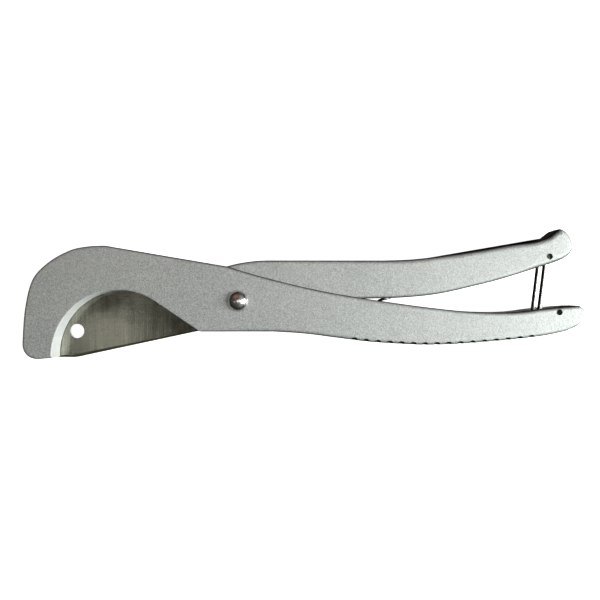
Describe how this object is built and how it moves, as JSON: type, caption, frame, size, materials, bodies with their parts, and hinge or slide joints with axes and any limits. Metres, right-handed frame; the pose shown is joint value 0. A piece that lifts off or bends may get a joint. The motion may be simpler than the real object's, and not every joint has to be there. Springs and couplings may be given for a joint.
{
  "type": "plastic pipe cutter",
  "caption": "Hand shear for plastic pipe: cast jaw and grooved lower handle, pivoting lever with a steel blade, return spring between them and a hooked wire latch.",
  "frame": {"origin": "under the middle of the cutter's box, on the back face that it lies on", "axes": "+X along the length towards the handle ends, +Y across the handles from the lower handle to the lever, +Z out of the front face, along the pivot"},
  "size_m": [0.2252, 0.0528, 0.0188],
  "materials": {
    "powder_coated_casting": "fine silver hammer-effect powder coat on die-cast aluminium",
    "blade_steel": "ground and polished stainless steel with faint grind lines across it",
    "plated_steel": "bright nickel plate, polished",
    "spring_wire": "drawn spring steel wire, bright"
  },
  "bodies": {
    "frame": {"jaw_frame": "powder_coated_casting", "pivot_rivet": "plated_steel", "pivot_bush": "plated_steel", "return_spring": "spring_wire", "latch_pin": "plated_steel"},
    "lever": {"lever": "powder_coated_casting", "blade": "blade_steel", "blade_rivet_upper": "plated_steel", "blade_rivet_lower": "plated_steel"},
    "bail": {"latch_bail": "spring_wire"}
  },
  "joints": [
    {"name": "lever_hinge", "type": "hinge", "parent": "frame", "child": "lever", "pos_m": [-0.02622, -0.00301, 0.008], "axis": [0, 0, 1], "range_deg": [0, 40], "deforming": ["return_spring"]},
    {"name": "bail_hinge", "type": "hinge", "parent": "lever", "child": "bail", "pos_m": [0.09918, 0.01489, 0.008], "axis": [0, 0, 1], "range_deg": [-70, 8]}
  ]
}
